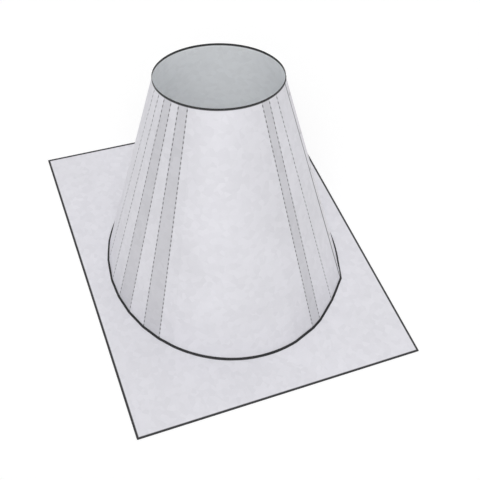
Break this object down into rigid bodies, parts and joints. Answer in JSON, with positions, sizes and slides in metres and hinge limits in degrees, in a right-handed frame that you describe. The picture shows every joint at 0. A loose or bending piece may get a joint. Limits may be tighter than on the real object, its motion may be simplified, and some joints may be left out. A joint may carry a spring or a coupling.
{
  "type": "pipe roof flashing",
  "caption": "Tapered sheet-metal stack on a flat rectangular plate, which carries a plumb round pipe through a pitched roof and sheds water round it.",
  "frame": {"origin": "centre of the base plate's underside", "axes": "+X along the eave, +Y up the roof slope, +Z away from the roof; the pipe's axis leans from +Z towards +Y by the pitch of a 3 in 12 roof"},
  "size_m": [0.508, 0.61, 0.3748],
  "materials": {
    "galvanised_sheet": "galvanised, satin with a faint spangle",
    "rivet": "plain, slightly dulled",
    "sealant": "cured black bead, dull"
  },
  "bodies": {
    "root": {"base_plate": "galvanised_sheet", "stack_cone": "galvanised_sheet", "seam_rivets": "rivet", "foot_sealant": "sealant"}
  },
  "joints": []
}
